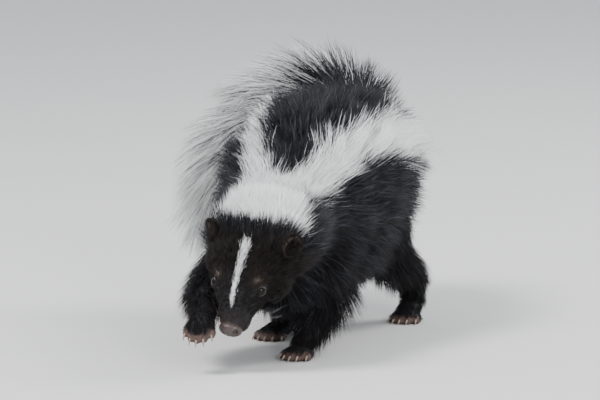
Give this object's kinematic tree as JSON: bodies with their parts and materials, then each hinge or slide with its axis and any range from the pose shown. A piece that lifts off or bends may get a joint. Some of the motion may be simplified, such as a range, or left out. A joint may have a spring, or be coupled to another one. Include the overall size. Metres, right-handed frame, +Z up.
{
  "type": "young striped skunk model",
  "caption": "Life-size still model of a young striped skunk, head down and tail swung over, right forepaw lifted; it stands on flat soles.",
  "frame": {"origin": "middle of the standing animal's box, on the floor", "axes": "+Z up; the animal faces -Y and its left side is +X"},
  "size_m": [0.2096, 0.3628, 0.1982],
  "materials": {
    "black_coat": "long soft fur, black with a faint blue sheen",
    "white_coat": "long soft fur, white, a little cream at the roots",
    "paw_skin": "short black hair over dark bare skin, pale horn claws",
    "nose_skin": "bare damp nose leather, brown",
    "eye": "wet black"
  },
  "bodies": {
    "root": {"head": "black_coat", "nose": "nose_skin", "jaw": "black_coat", "ear_left": "black_coat", "ear_right": "black_coat", "eye_left": "eye", "eye_right": "eye", "neck": "white_coat", "torso": "black_coat", "tail_root": "black_coat", "tail_arch": "white_coat", "tail_plume": "white_coat", "foreleg_left": "black_coat", "foreleg_right": "black_coat", "hindleg_left": "black_coat", "hindleg_right": "black_coat", "forepaw_left": "paw_skin", "forepaw_right": "paw_skin", "hindpaw_left": "paw_skin", "hindpaw_right": "paw_skin"}
  },
  "joints": []
}
